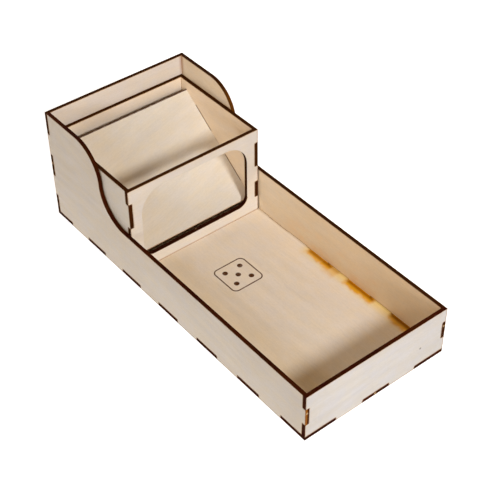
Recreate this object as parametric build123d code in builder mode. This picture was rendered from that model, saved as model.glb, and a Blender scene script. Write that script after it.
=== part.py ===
"""Dice tower standing in a rolling tray, cut from thin plywood and finger-jointed.

Frame: origin on the table at the middle of the tray's underside, +Z up, +X right,
the low front wall towards -Y and the tower towards +Y. All sizes are in millimetres.
"""

from build123d import *
from math import atan2, cos, degrees, hypot, sin
import os

# ---------------------------------------------------------------- driving dimensions
ply = 3.0                      # thickness of every panel

# rolling tray, outside sizes
tray_width = 127.0
tray_length = 299.0
front_height = 42.0            # top of the low front wall and of the side rails
rear_height = 97.5             # top of the back wall
shoulder_length = 40.4         # level top of each side, from the back to its S-curve

# tower, outside sizes
tower_depth = 96.0
tower_height = 78.0
side_gap = 1.0                 # tower to tray, at each side
rear_gap = 0.8                 # tower to tray, at the back

# window in the tower's front panel
stile_width = 10.7             # from the window out to the panel's side edge
sill_height = 10.5             # from the panel's lower edge up to the window
header_height = 7.0            # from the window up to the panel's upper edge
window_top_radius = 20.0
window_sill_radius = 8.0

# ramp, which starts level with the window's sill
ramp_drop = 7.8                # from the tower's top down to the upper edge of the ramp's face
ramp_front_gap = 2.7           # lower edge of the ramp's face to the front panel
ramp_rear_gap = 6.7            # upper edge of the ramp's face to the back panel
ramp_tab_length = 24.0
ramp_tab_spacing = 46.0        # between the centres of one side's two tabs
slot_clearance = 0.1           # ramp tab to slot, at each end and on each face

# finger joints
floor_side_tabs = 7            # tabs on each long edge of the floor
floor_end_tabs = 3             # tabs on each short edge of the floor
front_corner_tab = 24.5        # length of a floor tab at a front corner, along the side
rear_corner_tab = 20.5         # length of a floor tab at a rear corner, along the side
front_finger = 15.0            # height of a finger at the tray's front corners
rear_fingers = 5               # fingers of both panels together, at the tray's rear corners
tower_foot_finger = 14.0       # lowest finger of the tower's front and back panels
tower_finger = 15.0            # the two fingers above it
tower_head_finger = 12.0       # highest finger of the tower's front and back panels

# ---------------------------------------------------------------- places of the panels
tray_left = -tray_width / 2
tray_right = tray_width / 2
tray_front = -tray_length / 2
tray_back = tray_length / 2

tower_left = tray_left + ply + side_gap
tower_right = tray_right - ply - side_gap
tower_rear = tray_back - ply - rear_gap
tower_fore = tower_rear - tower_depth
tower_width = tower_right - tower_left
tower_base = ply                           # the tower stands on the tray's floor
tower_top = tower_base + tower_height

window_right = tower_right - stile_width
window_left = tower_left + stile_width
window_base = tower_base + sill_height
window_top = tower_top - header_height

ramp_start_y = tower_fore + ply + ramp_front_gap
ramp_run = tower_rear - ply - ramp_rear_gap - ramp_start_y
ramp_rise = tower_top - ramp_drop - window_base
slope = atan2(ramp_rise, ramp_run)
ramp_length = hypot(ramp_rise, ramp_run)
ramp_tabs = [ramp_length / 2 + side * ramp_tab_spacing / 2 for side in (-1, 1)]


# ---------------------------------------------------------------- finger layouts
def even_edges(start, end, count):
    """The edges that cut start to end into count equal lengths."""
    step = (end - start) / count
    return [start + i * step for i in range(count + 1)]


def odd_spans(edges):
    """The first, third, fifth ... span between the edges, as (start, end) pairs."""
    return list(zip(edges, edges[1:]))[::2]


def even_spans(edges):
    """The second, fourth ... span between the edges, as (start, end) pairs."""
    return list(zip(edges, edges[1:]))[1::2]


# floor joints: the floor has the odd spans, the walls stand down between them
side_joint = [
    tray_front,
    *even_edges(
        tray_front + front_corner_tab, tray_back - rear_corner_tab, 2 * floor_side_tabs - 3
    ),
    tray_back,
]
end_joint = [
    tray_left,
    *even_edges(tray_left + ply, tray_right - ply, 2 * floor_end_tabs - 1)[1:-1],
    tray_right,
]

# corner joints: the front and back panels have the odd spans, the sides the even ones
front_joint = [0, front_finger, 2 * front_finger, front_height]
rear_joint = even_edges(0, rear_height, rear_fingers)
tower_joint = [
    tower_base,
    tower_base + tower_foot_finger,
    tower_base + tower_foot_finger + tower_finger,
    tower_base + tower_foot_finger + 2 * tower_finger,
    tower_top - tower_head_finger,
    tower_top,
]


# ---------------------------------------------------------------- sketch helpers
def rectangle(low, high, mode=Mode.ADD):
    """A rectangle between two corners, in the sketch that is open."""
    with Locations(((low[0] + high[0]) / 2, (low[1] + high[1]) / 2)):
        Rectangle(high[0] - low[0], high[1] - low[1], mode=mode)


def notch_foot(spans, low, high):
    """Notches from low to high up the sketch, one for each span along it."""
    for start, end in spans:
        rectangle((start, low), (end, high), mode=Mode.SUBTRACT)


def notch_side(spans, low, high):
    """Notches from low to high along the sketch, one for each span up it."""
    for start, end in spans:
        rectangle((low, start), (high, end), mode=Mode.SUBTRACT)


def under_ramp(distance, depth):
    """The (y, z) point so far up the ramp and so deep under its face."""
    return (
        ramp_start_y + distance * cos(slope) + depth * sin(slope),
        window_base + distance * sin(slope) - depth * cos(slope),
    )


# ---------------------------------------------------------------- shared outlines
# each tray side in Y and Z: a low rail, two equal tangent arcs, a level shoulder
with BuildSketch() as tray_side:
    with BuildLine():
        curve_radius = (rear_height - front_height) / 2
        shoulder = Line(
            (tray_back, rear_height), (tray_back - shoulder_length, rear_height)
        )
        upper_arc = JernArc(shoulder @ 1, shoulder % 1, curve_radius, 90)
        lower_arc = JernArc(upper_arc @ 1, upper_arc % 1, curve_radius, -90)
        Polyline(
            lower_arc @ 1, (tray_front, front_height), (tray_front, 0), (tray_back, 0), shoulder @ 0
        )
    make_face()
    notch_foot(odd_spans(side_joint), 0, ply)
    notch_side(odd_spans(front_joint), tray_front, tray_front + ply)
    notch_side(odd_spans(rear_joint), tray_back - ply, tray_back)

# each tower side in Y and Z, slotted for the ramp's tabs
with BuildSketch() as tower_side:
    rectangle((tower_fore, tower_base), (tower_rear, tower_top))
    notch_side(odd_spans(tower_joint), tower_fore, tower_fore + ply)
    notch_side(odd_spans(tower_joint), tower_rear - ply, tower_rear)
    with Locations([under_ramp(distance, ply / 2) for distance in ramp_tabs]):
        Rectangle(
            ramp_tab_length + 2 * slot_clearance,
            ply + 2 * slot_clearance,
            rotation=degrees(slope),
            mode=Mode.SUBTRACT,
        )

# the tower's front and back panels in X and Z
with BuildSketch() as tower_end:
    rectangle((tower_left, tower_base), (tower_right, tower_top))
    notch_side(even_spans(tower_joint), tower_left, tower_left + ply)
    notch_side(even_spans(tower_joint), tower_right - ply, tower_right)


# ---------------------------------------------------------------- rolling tray
with BuildPart() as tray_floor:
    with BuildSketch(Plane.XY):
        rectangle((tray_left, tray_front), (tray_right, tray_back))
        notch_side(even_spans(side_joint), tray_left, tray_left + ply)
        notch_side(even_spans(side_joint), tray_right - ply, tray_right)
        notch_foot(even_spans(end_joint), tray_front, tray_front + ply)
        notch_foot(even_spans(end_joint), tray_back - ply, tray_back)
    extrude(amount=ply)

with BuildPart() as tray_front_wall:
    with BuildSketch(Plane.XZ.offset(-tray_front)):
        rectangle((tray_left, 0), (tray_right, front_height))
        notch_foot(odd_spans(end_joint), 0, ply)
        notch_side(even_spans(front_joint), tray_left, tray_left + ply)
        notch_side(even_spans(front_joint), tray_right - ply, tray_right)
    extrude(amount=-ply)

with BuildPart() as tray_back_wall:
    with BuildSketch(Plane.XZ.offset(-tray_back)):
        rectangle((tray_left, 0), (tray_right, rear_height))
        notch_foot(odd_spans(end_joint), 0, ply)
        notch_side(even_spans(rear_joint), tray_left, tray_left + ply)
        notch_side(even_spans(rear_joint), tray_right - ply, tray_right)
    extrude(amount=ply)

with BuildPart() as tray_left_side:
    with BuildSketch(Plane.YZ.offset(tray_left)):
        add(tray_side.sketch)
    extrude(amount=ply)

with BuildPart() as tray_right_side:
    with BuildSketch(Plane.YZ.offset(tray_right)):
        add(tray_side.sketch)
    extrude(amount=-ply)

# ---------------------------------------------------------------- tower
with BuildPart() as tower_front:
    with BuildSketch(Plane.XZ.offset(-tower_fore)):
        add(tower_end.sketch)
    extrude(amount=-ply)
    with BuildSketch(Plane.XZ.offset(-tower_fore)) as window:
        rectangle((window_left, window_base), (window_right, window_top))
        fillet(window.vertices().group_by(Axis.Y)[-1], window_top_radius)
        fillet(window.vertices().group_by(Axis.Y)[0], window_sill_radius)
    extrude(amount=-ply, mode=Mode.SUBTRACT)

with BuildPart() as tower_back:
    with BuildSketch(Plane.XZ.offset(-tower_rear)):
        add(tower_end.sketch)
    extrude(amount=ply)

with BuildPart() as tower_left_side:
    with BuildSketch(Plane.YZ.offset(tower_left)):
        add(tower_side.sketch)
    extrude(amount=ply)

with BuildPart() as tower_right_side:
    with BuildSketch(Plane.YZ.offset(tower_right)):
        add(tower_side.sketch)
    extrude(amount=-ply)

# the ramp is drawn flat on its sloping upper face, its first axis along X
ramp_face = Plane(
    origin=(0, ramp_start_y, window_base), x_dir=(1, 0, 0), z_dir=(0, -sin(slope), cos(slope))
)
with BuildPart() as tower_ramp:
    with BuildSketch(ramp_face):
        rectangle((tower_left + ply, 0), (tower_right - ply, ramp_length))
        with Locations([(0, distance) for distance in ramp_tabs]):
            Rectangle(tower_width, ramp_tab_length)
    extrude(amount=-ply)

# ---------------------------------------------------------------- named pieces
pieces = {
    "tray_floor": tray_floor,
    "tray_front_wall": tray_front_wall,
    "tray_back_wall": tray_back_wall,
    "tray_left_side": tray_left_side,
    "tray_right_side": tray_right_side,
    "tower_front": tower_front,
    "tower_back": tower_back,
    "tower_left_side": tower_left_side,
    "tower_right_side": tower_right_side,
    "tower_ramp": tower_ramp,
}
os.makedirs("parts", exist_ok=True)
for name, piece in pieces.items():
    piece.part.label = name
    export_step(piece.part, f"parts/{name}.step")
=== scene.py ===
"""Looks of a plywood dice tower in its rolling tray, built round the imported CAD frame.

Every length is in metres, in the frame of the CAD: +X right, +Y back and +Z up. The panels
keep their shapes, and get laser-cut birch plywood made of nodes, each with its own marks.
"""

from math import atan2, cos, radians, sin

import bpy
from mathutils import Matrix, Vector


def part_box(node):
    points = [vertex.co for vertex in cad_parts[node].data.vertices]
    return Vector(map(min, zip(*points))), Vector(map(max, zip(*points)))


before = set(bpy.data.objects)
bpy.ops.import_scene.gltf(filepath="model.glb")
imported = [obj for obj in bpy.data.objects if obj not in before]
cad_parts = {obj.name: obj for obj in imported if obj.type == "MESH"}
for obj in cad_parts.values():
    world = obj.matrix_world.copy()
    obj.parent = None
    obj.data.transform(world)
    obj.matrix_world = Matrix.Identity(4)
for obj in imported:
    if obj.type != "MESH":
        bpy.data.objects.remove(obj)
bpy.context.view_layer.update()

scene = bpy.context.scene
scene.view_settings.view_transform = "Standard"

# ---------------------------------------------------------------- places from the frame
X, Y, Z = (1, 0, 0), (0, 1, 0), (0, 0, 1)

FRONT_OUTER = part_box("tray_front_wall")[0].y  # outer face of the front wall
LEFT_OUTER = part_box("tray_left_side")[0].x  # outer face of the left side
RIGHT_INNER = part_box("tray_right_side")[0].x  # inner face of the right side
REAR_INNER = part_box("tray_back_wall")[0].y  # inner face of the back wall
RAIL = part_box("tray_front_wall")[1].z  # top of the front wall and of the low rails
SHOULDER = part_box("tray_right_side")[1].z  # top of the high end of a side
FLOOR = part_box("tray_floor")[1].z  # upper face of the floor
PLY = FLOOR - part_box("tray_floor")[0].z

ramp_low, ramp_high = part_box("tower_ramp")
ramp_face = max(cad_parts["tower_ramp"].data.polygons, key=lambda face: face.area)
SLOPE = atan2(abs(ramp_face.normal.y), abs(ramp_face.normal.z))
RAMP_FOOT_Y = ramp_low.y  # lower edge of the ramp's upper face
RAMP_FOOT_Z = ramp_low.z + PLY * cos(SLOPE)
RAMP_LENGTH = (ramp_high.z - RAMP_FOOT_Z) / sin(SLOPE)
RAMP_TAB = 0.023  # a tab's centre, from the ramp's middle
RAMP_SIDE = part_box("tower_right_side")[0].x  # half the ramp's width without its tabs
RAMP_TURN = 0.23  # the ramp's grain is turned 13 degrees from X
RAMP_ACROSS = (0, -sin(SLOPE), cos(SLOPE))
RAMP_GRAIN = (cos(RAMP_TURN), sin(RAMP_TURN) * cos(SLOPE), sin(RAMP_TURN) * sin(SLOPE))

STILE = 0.0107  # from the window to the tower's side
HEADER = 0.007  # from the window to the tower's top
WINDOW_BASE = RAMP_FOOT_Z  # the ramp starts level with the sill
WINDOW_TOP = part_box("tower_front")[1].z - HEADER
WINDOW_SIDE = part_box("tower_front")[1].x - STILE

# ---------------------------------------------------------------- camera
# 39 degrees to the left of the front and 42 degrees up, with no lens shift
SENSOR_WIDTH = 36
LENS = 88.26
CAMERA_PLACE = (-0.41013, -0.52879, 0.62927)
CAMERA_RIGHT = (0.77819, -0.62799, -0.00663)
CAMERA_UP = (0.42379, 0.5173, 0.7435)

camera_data = bpy.data.cameras.new("camera")
camera_data.sensor_width = SENSOR_WIDTH
camera_data.lens = LENS
camera_data.clip_start, camera_data.clip_end = 0.05, 20
camera = bpy.data.objects.new("camera", camera_data)
right = Vector(CAMERA_RIGHT).normalized()
back = right.cross(Vector(CAMERA_UP)).normalized()
up = back.cross(right)
rows = [(*axes, place) for *axes, place in zip(right, up, back, CAMERA_PLACE)]
camera.matrix_world = Matrix((*rows, (0, 0, 0, 1)))
scene.collection.objects.link(camera)
scene.camera = camera

# ---------------------------------------------------------------- light
# a small lamp near the front casts the shadows, and wide weak ones far away fill them
KEY_POWER = 31.0
KEY_RADIUS = 0.105
KEY_CONE = 36
KEY_PLACE = (-0.04, -0.861, 0.665)
KEY_TARGET = (0, 0.08, 0.01)

# azimuth (0 is the front and 90 the right), elevation, level and width, in degrees
FAR_LAMPS = {
    "high_fill": (-90, 40, 0.145, 20),
    "left_fill": (-60, 14, 0.07, 12),
    "low_fill": (-45, 8, 0.16, 12),
    "right_fill": (90, 12, 0.30, 30),
    "rear_fill": (180, 12, 0.50, 30),
}
SUN_POWER = 3.1416  # a sun's power at which a white surface that faces it is white


def lamp(name, kind, energy, towards, **settings):
    """A lamp whose light comes from the direction towards."""
    data = bpy.data.lights.new(name, kind)
    data.energy = energy
    for key, value in settings.items():
        setattr(data, key, value)
    made = bpy.data.objects.new(name, data)
    scene.collection.objects.link(made)
    made.rotation_mode = "QUATERNION"
    made.rotation_quaternion = towards.to_track_quat("Z", "Y")
    return made


key = lamp(
    "key",
    "SPOT",
    KEY_POWER,
    Vector(KEY_PLACE) - Vector(KEY_TARGET),
    shadow_soft_size=KEY_RADIUS,
    spot_size=radians(KEY_CONE),
    spot_blend=1.0,
)
key.location = KEY_PLACE
for name, (azimuth, elevation, level, width) in FAR_LAMPS.items():
    a, e = radians(azimuth), radians(elevation)
    towards = Vector((sin(a) * cos(e), -cos(a) * cos(e), sin(e)))
    lamp(name, "SUN", level * SUN_POWER, towards, angle=radians(width))


# ---------------------------------------------------------------- node helpers
class Nodes:
    """Short calls for building the nodes of a world or a material."""

    def __init__(self, owner):
        owner.use_nodes = True
        self.owner = owner
        self.tree = owner.node_tree
        self.tree.nodes.clear()

    def node(self, kind, **settings):
        made = self.tree.nodes.new(kind)
        for key, value in settings.items():
            setattr(made, key, value)
        return made

    def put(self, socket, value):
        if isinstance(value, bpy.types.NodeSocket):
            self.tree.links.new(value, socket)
        elif value is not None:
            socket.default_value = value

    def fill(self, made, **values):
        """Puts values in the inputs that they name, with _ for a space."""
        for key, value in values.items():
            self.put(made.inputs[key.replace("_", " ")], value)
        return made

    # shaders
    def shader(self, kind, colour):
        return self.fill(self.node(kind), Color=colour).outputs[0]

    def join(self, kind, *values):
        made = self.node(kind)
        for socket, value in zip(made.inputs, values):
            self.put(socket, value)
        return made.outputs[0]

    def surface(self, kind, shader):
        self.fill(self.node(kind), Surface=shader)

    def seen(self):
        """1 for the rays that find the white background."""
        path = self.node("ShaderNodeLightPath")
        kinds = ("Camera", "Glossy", "Transmission")
        return self.most(*(path.outputs[f"Is {kind} Ray"] for kind in kinds))

    # numbers
    def math(self, operation, a, b=None):
        made = self.node("ShaderNodeMath", operation=operation)
        for socket, value in zip(made.inputs, (a, b)):
            self.put(socket, value)
        return made.outputs[0]

    def add(self, a, b):
        return self.math("ADD", a, b)

    def less(self, a, b):
        return self.math("SUBTRACT", a, b)

    def absolute(self, a):
        return self.math("ABSOLUTE", a)

    def below(self, a, b):
        return self.math("LESS_THAN", a, b)

    def above(self, a, b):
        return self.math("GREATER_THAN", a, b)

    def times(self, *values):
        made = values[0]
        for value in values[1:]:
            made = self.math("MULTIPLY", made, value)
        return made

    def most(self, *values):
        made = values[0]
        for value in values[1:]:
            made = self.math("MAXIMUM", made, value)
        return made

    def span(self, value, low, high, to_low=0.0, to_high=1.0):
        """Maps low..high smoothly to to_low..to_high."""
        made = self.node("ShaderNodeMapRange", interpolation_type="SMOOTHSTEP")
        self.fill(made, Value=value, From_Min=low, From_Max=high, To_Min=to_low, To_Max=to_high)
        return made.outputs["Result"]

    def within(self, value, start, end):
        """1 between two borders, each given by its places of 0 and of 1."""
        return self.times(self.span(value, *start), self.span(value, *end))

    def sway(self, value, noise, amount):
        """A value that a noise moves by up to half the amount, either way."""
        return self.add(value, self.times(self.less(noise, 0.5), amount))

    # vectors and colours
    def vector(self, operation, a, b=None, scale=None):
        made = self.node("ShaderNodeVectorMath", operation=operation)
        self.put(made.inputs[0], a)
        self.put(made.inputs[1], b)
        if scale is not None:
            self.put(made.inputs["Scale"], scale)
        number = operation in ("DOT_PRODUCT", "LENGTH", "DISTANCE")
        return made.outputs["Value" if number else "Vector"]

    def dot(self, a, b):
        return self.vector("DOT_PRODUCT", a, tuple(b))

    def scaled(self, a, b):
        return self.vector("MULTIPLY", a, b)

    def point(self, *numbers):
        made = self.node("ShaderNodeCombineXYZ")
        for socket, value in zip(made.inputs, numbers):
            self.put(socket, value)
        return made.outputs[0]

    def near(self, place, point, inner, outer):
        """1 within inner of a point, falling to 0 at outer."""
        return self.span(self.vector("DISTANCE", place, point), outer, inner)

    def noise(self, vector, scale, detail, roughness):
        made = self.node("ShaderNodeTexNoise")
        self.fill(made, Vector=vector, Scale=scale, Detail=detail, Roughness=roughness)
        return made.outputs["Fac"]

    def mix(self, factor, a, b):
        made = self.node("ShaderNodeMix", data_type="RGBA")
        for index, value in ((0, factor), (6, a), (7, b)):  # the inputs of a colour mix
            self.put(made.inputs[index], value)
        return made.outputs[2]


# ---------------------------------------------------------------- background
# white to the camera, so that only the soft contact shadow shows on the ground
WHITE = (1, 1, 1, 1)
SURROUND = (0.16, 0.095, 0.04, 1)
GROUND = (0.86, 0.86, 0.86, 1)
GROUND_GLOW = (0.72, 0.72, 0.72, 1)
GROUND_REACH = 6
GROUND_LEVEL = -0.0002


def white_world():
    """A dim warm surround for the object, and white behind it."""
    n = Nodes(bpy.data.worlds.new("world"))
    surround = n.shader("ShaderNodeBackground", SURROUND)
    white = n.shader("ShaderNodeBackground", WHITE)
    n.surface("ShaderNodeOutputWorld", n.join("ShaderNodeMixShader", n.seen(), surround, white))
    return n.owner


def white_ground():
    """Grey ground that light reaches as it is, and that glows up to white for the camera."""
    n = Nodes(bpy.data.materials.new("ground"))
    plain = n.shader("ShaderNodeBsdfDiffuse", GROUND)
    glowing = n.join("ShaderNodeAddShader", plain, n.shader("ShaderNodeEmission", GROUND_GLOW))
    n.surface("ShaderNodeOutputMaterial", n.join("ShaderNodeMixShader", n.seen(), plain, glowing))
    return n.owner


corners = [
    (x * GROUND_REACH, y * GROUND_REACH, GROUND_LEVEL)
    for x, y in ((-1, -1), (1, -1), (1, 1), (-1, 1))
]
ground_mesh = bpy.data.meshes.new("ground")
ground_mesh.from_pydata(corners, [], [(0, 1, 2, 3)])
ground_mesh.materials.append(white_ground())
ground = bpy.data.objects.new("ground", ground_mesh)
scene.collection.objects.link(ground)
scene.world = white_world()


# ---------------------------------------------------------------- plywood
CHAR_DARK = (0.021, 0.0010, 0.0001, 1)
CHAR_RED = (0.046, 0.0058, 0.0003, 1)
CHAR_BROWN = (0.048, 0.0165, 0.0012, 1)
RIM = (0.17, 0.056, 0.006, 1)
FRINGE = (0.32, 0.120, 0.026, 1)
GOLD = (0.33, 0.115, 0.016, 1)
PALE = (0.50, 0.33, 0.17, 1)
SCORCH = (0.66, 0.37, 0.11, 1)
STAIN = (0.78, 0.38, 0.012, 1)
STAIN_DEEP = (0.36, 0.110, 0.0015, 1)
ENGRAVED = (0.085, 0.027, 0.006, 1)
SPECK = (0.18, 0.16, 0.15, 1)

# layers of the wood: each one's stretch across the grain, scale, detail and roughness, and
# the range of its noise with the shades at both ends
LAYERS = {
    "streak": ((22.0, 34, 3, 0.6), (0.25, 0.75, 0.974, 1.018)),
    "cloud": ((1.8, 22, 3, 0.55), (0.3, 0.7, 0.975, 1.022)),
    "pores": ((9.0, 420, 2, 0.6), (0.28, 0.42, 0.94, 1.0)),
    "fibre": ((3.5, 520, 2, 0.6), (0.25, 0.75, 0.968, 1.032)),
}
# noises given in the same way, which bend the bands of the figure, warm the face and mottle it
WANDER = (2.2, 9, 2, 0.5)
WARMTH = (2.6, 12, 2, 0.5)
MOTTLE = (1.6, 85, 3, 0.6)
BAND_TURNS = 520.0  # radians in a metre across the bands of the figure
BAND_WANDER = 26.0
BAND_DEPTH = 0.019

# the rings of scorch beside a cut: colour, how turned the bevel is at the outer and inner
# border, and level
SCORCH_REACH = 0.0018
SCORCH_RINGS = (
    (SCORCH, 0.9995, 0.93, 0.65),
    (FRINGE, 0.930, 0.829, 0.80),
    (CHAR_RED, 0.855, 0.783, 0.90),
)
SPECULAR = 0.02
BUMP_STRENGTH = 0.12
BUMP_HEIGHT = 0.0002


class Plywood(Nodes):
    """Laser-cut birch ply whose thickness runs across and its grain along, both unit vectors.

    face is the colour of the two faces, char that of the cut edges and height the bump.
    """

    def __init__(self, name, across, along, tone, seed, brown):
        super().__init__(bpy.data.materials.new(name))
        self.place = self.node("ShaderNodeTexCoord").outputs["Object"]
        self.normal = self.node("ShaderNodeTexCoord").outputs["Normal"]
        axes = self.node("ShaderNodeSeparateXYZ")
        self.put(axes.inputs[0], self.place)
        self.x, self.y, self.z = axes.outputs
        self.across = Vector(across)
        self.along = Vector(along)
        self.add_grain(tone, seed)
        self.add_char(seed, brown)

    def add_grain(self, tone, seed):
        """Growth figure in slow wandering bands, then the layers, warm zones and mottling."""
        side = self.across.cross(self.along)
        flat = self.point(*(self.dot(self.place, axis) for axis in (self.along, side, self.across)))
        here = self.vector("ADD", flat, (seed, seed * 0.7, 0.0))

        def grain(stretch, scale, detail, roughness):
            return self.noise(self.scaled(here, (1.0, stretch, 1.0)), scale, detail, roughness)

        wander = self.times(grain(*WANDER), BAND_WANDER)
        band = self.math("SINE", self.add(self.times(self.dot(here, Y), BAND_TURNS), wander))
        strength = self.span(self.noise(here, 16, 1, 0.5), 0.42, 0.66)
        figure = self.times(band, strength, BAND_DEPTH)
        layers = {name: grain(*noise) for name, (noise, _) in LAYERS.items()}
        streak, *others = (self.span(layers[name], *shades) for name, (_, shades) in LAYERS.items())
        shade = self.times(self.add(streak, figure), *others)
        self.face = self.vector("SCALE", tone, scale=shade)
        self.tint(self.span(grain(*WARMTH), 0.35, 0.72, 0.0, 0.16), (1.02, 0.95, 0.80))
        cool, warm = (0.992, 1.003, 1.034, 1), (1.010, 0.996, 0.956, 1)
        mottle = self.mix(self.span(grain(*MOTTLE), 0.32, 0.68), cool, warm)
        self.face = self.scaled(self.face, mottle)
        self.streak = layers["streak"]
        self.height = self.add(self.times(self.streak, 0.5), self.times(layers["pores"], 0.25))

    def add_char(self, seed, brown):
        """Burnt edges, the browner the higher brown is; rough is the fine noise of all burns."""
        self.rough = self.noise(self.vector("ADD", self.place, (seed, 0, 0)), 260, 3, 0.6)
        slow = self.noise(self.place, 38, 2, 0.5)
        self.char = self.mix(self.span(slow, 0.34, 0.66), CHAR_DARK, CHAR_RED)
        self.burn(self.span(self.rough, 0.35, 0.75, brown, min(brown + 0.5, 1.0)), CHAR_BROWN)

    def add_scorch(self, clean):
        """Scorch beside the cuts, wider and paler outwards, except where clean is 1."""
        bevel = self.node("ShaderNodeBevel", samples=8)
        bevel.inputs["Radius"].default_value = SCORCH_REACH
        turned = self.absolute(self.dot(bevel.outputs[0], self.across))
        ragged = self.span(self.rough, 0.3, 0.7, 0.7, 1.0)
        if clean:
            ragged = self.times(ragged, self.less(1.0, clean(self)))
        for colour, outer, inner, level in SCORCH_RINGS:
            self.paint(self.times(self.span(turned, outer, inner, 0.0, level), ragged), colour)

    def paint(self, factor, colour):
        self.face = self.mix(factor, self.face, colour)

    def tint(self, factor, gains):
        """Multiplies the face's red, green and blue by the gains, where the factor is 1."""
        self.face = self.mix(factor, self.face, self.scaled(self.face, gains))

    def burn(self, factor, colour):
        self.char = self.mix(factor, self.char, colour)

    def finish(self):
        is_edge = self.below(self.absolute(self.dot(self.normal, self.across)), 0.5)
        bump = self.node("ShaderNodeBump")
        bump.inputs["Strength"].default_value = BUMP_STRENGTH
        bump.inputs["Distance"].default_value = BUMP_HEIGHT
        self.put(bump.inputs["Height"], self.height)
        shader = self.node("ShaderNodeBsdfPrincipled")
        shader.inputs["Specular IOR Level"].default_value = SPECULAR
        self.fill(
            shader,
            Base_Color=self.mix(is_edge, self.face, self.char),
            Roughness=self.span(self.streak, 0.2, 0.8, 0.66, 0.78),
            Normal=bump.outputs[0],
        )
        self.surface("ShaderNodeOutputMaterial", shader.outputs[0])
        return self.owner


# ---------------------------------------------------------------- marks of each panel
# Every border is soft, and is given by two places: where its mark is 0 and where it is 1.
REAR_CORNER = (0.070, 0.090)  # height at which the rear corner turns golden

# the floor's zones, in x and in y: painted shade near the left wall, partly the wood's own warmth,
# and painted light in the front wall's shadow; and the thin vein along it
LEFT_SHADE_AND_WARMTH = (-0.008, -0.034)
FRONT_SHADOW_LIFT = (-0.096, -0.112)
VEIN_X = 0.021
VEIN_EDGE = (0.0011, 0.0002)
VEIN_ENDS = ((-0.112, -0.085), (0.030, 0.000))

# what follows the foot of the right wall, by its distance from that line
WASH_EDGE = (0.0130, 0.0025)
WASH_ENDS = ((-0.128, -0.120), (-0.004, -0.014))
DEEP_EDGE = (0.0046, 0.0012)
JOINT_SHADE_EDGE = (0.0021, 0.0008)
JOINT_SHADE_END = (0.0500, 0.0490)

DARKER_END = (-0.097, -0.103)  # the stain nearest the front is darker

# where the cut burnt broad stains at the foot of the right wall: y range, reach and level
STAINS = (
    (-0.1220, -0.1010, 0.0085, 0.90),
    (-0.0840, -0.0545, 0.0086, 1.00),
    (-0.0460, -0.0340, 0.0125, 0.42),
    (-0.0380, -0.0260, 0.0086, 0.97),
    (-0.0290, -0.0112, 0.0074, 0.88),
)
STAIN_CORE = 0.46  # the share of its reach in which a stain is full
SPOTS = (-0.0345, -0.0808, -0.1030)  # y of the small burnt spots in them
SPOT_X = 0.0598
SPOT_SIZE = 0.0012
SPOT_SQUEEZE = 0.6  # a spot is longer along the wall than across

# the right wall's blots, above the foot
BLOT_HEIGHT = (0.034, 0.010)
BLOT_ENDS = ((-0.105, -0.085), (0.030, 0.000))

# the mark on the floor, a die's face with five spots
DIE_STRAIGHT = 0.0098  # half the straight part of an edge
DIE_ROUND = 0.0040  # radius of a corner
DIE_SPOT = 0.0070  # centre of an outer spot, from the middle
DIE_LINE_EDGE = (0.00060, 0.00040)
DIE_SPOT_EDGE = (0.00225, 0.00200)


def stain_mask(p, reach_scale=1.0):
    """How stained a point is, its distance from the foot of the right wall, and a noise."""
    away = p.add(p.absolute(p.less(p.x, RIGHT_INNER)), p.less(p.z, FLOOR))
    rough = p.noise(p.scaled(p.place, (1.0, 0.8, 1.0)), 150, 3, 0.6)
    along = p.add(p.y, p.times(rough, 0.004))
    ragged = p.sway(away, rough, 0.007)
    made = 0.0
    for start, end, reach, level in STAINS:
        within = p.within(along, (start - 0.001, start + 0.003), (end + 0.003, end - 0.002))
        fade = p.span(ragged, reach * reach_scale, STAIN_CORE * reach * reach_scale)
        made = p.most(p.times(within, fade, level), made)
    return made, away, rough


def die_mark(p):
    """1 on the lines and spots of the mark on the floor."""
    x, y = p.absolute(p.x), p.absolute(p.y)
    corner = p.point(*(p.math("MAXIMUM", p.less(a, DIE_STRAIGHT), 0.0) for a in (x, y)))
    outline = p.absolute(p.less(p.vector("LENGTH", corner), DIE_ROUND))
    folded = p.point(x, y)
    spots = p.math(
        "MINIMUM",
        p.vector("DISTANCE", folded, (DIE_SPOT, DIE_SPOT, 0)),
        p.vector("DISTANCE", folded, (0, 0, 0)),
    )
    return p.most(p.span(outline, *DIE_LINE_EDGE), p.span(spots, *DIE_SPOT_EDGE))


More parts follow.
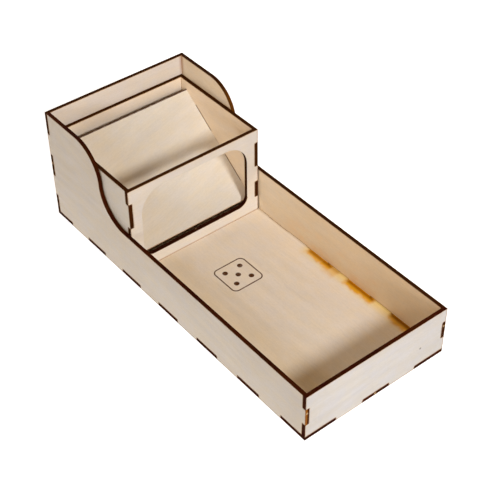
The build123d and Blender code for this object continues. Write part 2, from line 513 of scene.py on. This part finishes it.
def mark_floor(p):
    mask, away, rough = stain_mask(p)
    upper = p.above(p.dot(p.normal, Z), 0.5)
    mask = p.times(mask, upper)

    # painted shade, darker and warmer towards the left wall and partly the wood's own warmth;
    # painted light, lighter and warmer in the front wall's shadow; and a thin vein
    drift = p.noise(p.scaled(p.place, (2.0, 0.6, 1.0)), 45, 3, 0.6)
    left = p.span(p.sway(p.x, drift, 0.030), *LEFT_SHADE_AND_WARMTH)
    cool, warm = (1.01, 1.01, 1.02), (0.97, 0.93, 0.84)
    p.face = p.mix(left, p.scaled(p.face, cool), p.scaled(p.face, warm))
    # painted light: lighter and warmer where the front wall's shadow falls on the floor
    p.tint(p.span(p.sway(p.y, drift, 0.020), *FRONT_SHADOW_LIFT), (1.07, 1.045, 0.97))
    vein = p.times(
        p.span(p.absolute(p.less(p.sway(p.x, drift, 0.016), VEIN_X)), *VEIN_EDGE),
        p.span(drift, 0.35, 0.6),
        p.within(p.y, *VEIN_ENDS),
    )
    p.tint(p.times(vein, 0.5), (0.92, 0.91, 0.90))

    # a yellow wash along the right wall, and in it the stains and burnt spots
    wash = p.span(p.add(away, p.times(rough, 0.003)), *WASH_EDGE)
    p.tint(p.times(wash, upper, p.within(p.y, *WASH_ENDS)), (0.98, 0.84, 0.42))
    p.paint(p.times(mask, 0.97), STAIN)
    deep = p.times(mask, p.span(away, *DEEP_EDGE), p.span(away, 0.0, 0.0014, 0.35, 1.0))
    p.paint(deep, STAIN_DEEP)
    p.tint(p.times(deep, p.span(p.y, *DARKER_END)), (0.72, 0.70, 0.6))
    squeezed = p.scaled(p.place, (1.0, SPOT_SQUEEZE, 1.0))
    for y in SPOTS:
        spot = p.near(squeezed, (SPOT_X, y * SPOT_SQUEEZE, FLOOR), 0.0001, SPOT_SIZE)
        p.paint(p.times(spot, upper, 0.6), CHAR_BROWN)

    # painted shade: a dark line where the floor meets the right wall, partly its burnt joint
    joint_shade = p.times(upper, p.span(away, *JOINT_SHADE_EDGE), p.span(p.y, *JOINT_SHADE_END))
    p.tint(p.times(joint_shade, p.span(mask, 0.2, 0.8, 0.45, 0.10)), (0.62, 0.52, 0.36))
    mark = p.times(die_mark(p), upper)
    p.paint(p.times(mark, p.span(p.rough, 0.2, 0.6, 0.82, 1.0)), ENGRAVED)
    p.height = p.less(p.height, p.times(mark, 1.5))


def mark_front_wall(p):
    speck = p.near(p.place, (0.0403, FRONT_OUTER, 0.0181), 0.0004, 0.0012)
    p.paint(p.times(speck, 0.85), SPECK)


def mark_back_wall(p):
    at_corner = p.span(p.x, RIGHT_INNER - 0.0030, RIGHT_INNER - 0.0002)
    p.paint(p.times(at_corner, p.span(p.z, *REAR_CORNER), 0.5), GOLD)


def mark_left_side(p):
    # the finger end at the front corner is golden along its outer half
    ragged = p.add(p.x, p.times(p.rough, 0.0006))
    outer = p.span(ragged, LEFT_OUTER + 0.0022, LEFT_OUTER + 0.0017)
    p.burn(p.times(p.below(p.y, FRONT_OUTER + 0.0005), outer, 0.85), GOLD)


def mark_right_side(p):
    mask = stain_mask(p, 1.3)[0]
    inner = p.below(p.dot(p.normal, X), -0.5)
    p.paint(p.times(mask, inner, 0.10), STAIN)
    # painted shade and light: darker and warmer towards the front, where the front wall shades the
    # inner face, lighter and cooler towards the rear
    along = p.mix(p.span(p.y, -0.130, 0.050), (1.0, 0.955, 0.88, 1), (1.03, 1.05, 1.08, 1))
    p.face = p.scaled(p.face, along)
    blots = p.span(p.noise(p.scaled(p.place, (1.0, 1.0, 1.6)), 55, 3, 0.6), 0.46, 0.66)
    zone = p.times(inner, p.span(p.z, *BLOT_HEIGHT), p.within(p.y, *BLOT_ENDS))
    p.tint(p.times(blots, zone, 0.8), (1.01, 0.93, 0.84))
    at_corner = p.span(p.y, REAR_INNER - 0.0040, REAR_INNER - 0.0003)
    p.paint(p.times(at_corner, p.span(p.z, *REAR_CORNER), inner, 0.55), GOLD)
    # the curve is burnt less than the rail and the shoulder
    curve = p.within(p.z, (RAIL + 0.008, RAIL + 0.020), (SHOULDER - 0.001, SHOULDER - 0.0095))
    ragged = p.add(p.x, p.times(p.rough, 0.001))
    outer = p.span(ragged, RIGHT_INNER + 0.0003, RIGHT_INNER + 0.0017, 0.20, 0.62)
    p.burn(p.times(curve, outer), RIM)


def mark_tower_front(p):
    # paler towards the foot as painted light, with a thin line where it stands; the sill is burnt
    # darkest
    p.paint(p.span(p.z, FLOOR + 0.0018, FLOOR + 0.0006, 0.0, 0.30), FRINGE)
    p.tint(p.span(p.z, 0.042, 0.010), (1.15, 1.18, 1.20))
    from_middle = p.absolute(p.x)
    sill = p.times(p.below(p.z, WINDOW_BASE + 0.0065), p.below(from_middle, WINDOW_SIDE - 0.0003))
    ragged = p.add(p.z, p.times(p.rough, 0.0002))
    lip = p.times(
        sill,
        p.span(ragged, WINDOW_BASE - 0.00065, WINDOW_BASE - 0.00025),
        p.span(from_middle, WINDOW_SIDE - 0.0048, WINDOW_SIDE - 0.0088),
    )
    p.paint(p.times(lip, 0.9), CHAR_RED)
    p.burn(p.times(sill, 0.75), CHAR_DARK)


def clean_window(p):
    """1 round the window, whose corners are clean."""
    between = p.times(p.above(p.z, WINDOW_BASE + 0.0070), p.below(p.z, WINDOW_TOP + 0.0022))
    return p.times(p.below(p.absolute(p.x), WINDOW_SIDE + 0.0017), between)


def mark_ramp(p):
    # painted shade: darker and warmer on the left, under the tower's left side; the upper end and
    # the tabs are burnt wider than the other corners
    p.tint(p.span(p.x, -0.004, -0.034), (0.99, 0.96, 0.91))
    along = p.add(
        p.times(p.less(p.y, RAMP_FOOT_Y), cos(SLOPE)), p.times(p.less(p.z, RAMP_FOOT_Z), sin(SLOPE))
    )
    # the wider burn at the upper end partly paints the shade of the gap behind the ramp
    end = p.span(along, RAMP_LENGTH - 0.0013, RAMP_LENGTH - 0.0007)
    from_tab = p.absolute(p.less(p.absolute(p.less(along, RAMP_LENGTH / 2)), RAMP_TAB))
    at_side = p.span(p.absolute(p.x), RAMP_SIDE - 0.0005, RAMP_SIDE - 0.0002)
    tabs = p.times(p.span(from_tab, 0.0125, 0.0115), at_side)
    p.paint(p.times(p.most(end, tabs), p.span(p.rough, 0.3, 0.6, 0.7, 0.95)), CHAR_RED)


def clean_ramp_sides(p):
    """Nearly 1 along the ramp's two sides, which are hardly burnt."""
    return p.span(p.absolute(p.x), RAMP_SIDE - 0.0020, RAMP_SIDE - 0.0015, 0.0, 0.85)


# ---------------------------------------------------------------- the ten panels
# across and along, the face's tone, the noise's seed, how brown the edges are, the marks,
# where the face is clean beside the cuts, and small pale spots (centre, inner, outer) on
# the edges
# the tones were matched panel by panel under this light, so besides the wood's own variation they
# hold painted light: greyer on the brightly lit front wall, cooler on the left panels, warmer on
# the right panels' inner faces
PANELS = {
    "tray_floor": dict(
        axes=(Z, Y), tone=(0.86, 0.755, 0.625), seed=1.3, marks=mark_floor,
        pale=((-0.0006, FRONT_OUTER, 0.0014), 0.0006, 0.0012),
    ),
    "tray_front_wall": dict(
        axes=(Y, X), tone=(0.68, 0.655, 0.635), seed=2.1, marks=mark_front_wall
    ),
    "tray_back_wall": dict(
        axes=(Y, X), tone=(0.78, 0.695, 0.615), seed=3.7, brown=0.5, marks=mark_back_wall,
        pale=((LEFT_OUTER, 0.1484, 0.0504), 0.0006, 0.0014),
    ),
    "tray_left_side": dict(
        axes=(X, Y), tone=(0.81, 0.755, 0.68), seed=4.9, marks=mark_left_side,
        pale=((LEFT_OUTER + 0.0013, FRONT_OUTER, 0.0259), 0.0006, 0.0012),
    ),
    "tray_right_side": dict(
        axes=(X, Y), tone=(0.84, 0.69, 0.505), seed=5.3, brown=0.3, marks=mark_right_side,
        pale=((RIGHT_INNER + 0.0015, FRONT_OUTER, 0.0261), 0.0006, 0.0012),
    ),
    "tower_front": dict(
        axes=(Y, X), tone=(0.715, 0.65, 0.58), seed=6.1, brown=0.5, marks=mark_tower_front,
        clean=clean_window, pale=((-0.0001, 0.0520, WINDOW_BASE), 0.0003, 0.0007),
    ),
    "tower_back": dict(axes=(Y, X), tone=(0.88, 0.74, 0.59), seed=7.7, brown=0.5),
    "tower_left_side": dict(axes=(X, Y), tone=(0.835, 0.79, 0.715), seed=8.2, brown=0.3),
    "tower_right_side": dict(axes=(X, Y), tone=(0.88, 0.72, 0.54), seed=9.4, brown=0.4),
    "tower_ramp": dict(
        axes=(RAMP_ACROSS, RAMP_GRAIN), tone=(0.785, 0.715, 0.615), seed=0.4, marks=mark_ramp,
        clean=clean_ramp_sides,
    ),
}


def plywood(name, axes, tone, seed, brown=0.0, marks=None, clean=None, pale=None):
    """The material of one panel, as a row of PANELS describes it."""
    p = Plywood(name, *axes, tone, seed, brown)
    p.add_scorch(clean)
    if marks:
        marks(p)
    if pale:
        p.burn(p.near(p.place, *pale), PALE)
    return p.finish()


for name, settings in PANELS.items():
    made = plywood(name + "_ply", **settings)
    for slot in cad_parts[name].material_slots:
        slot.material = made
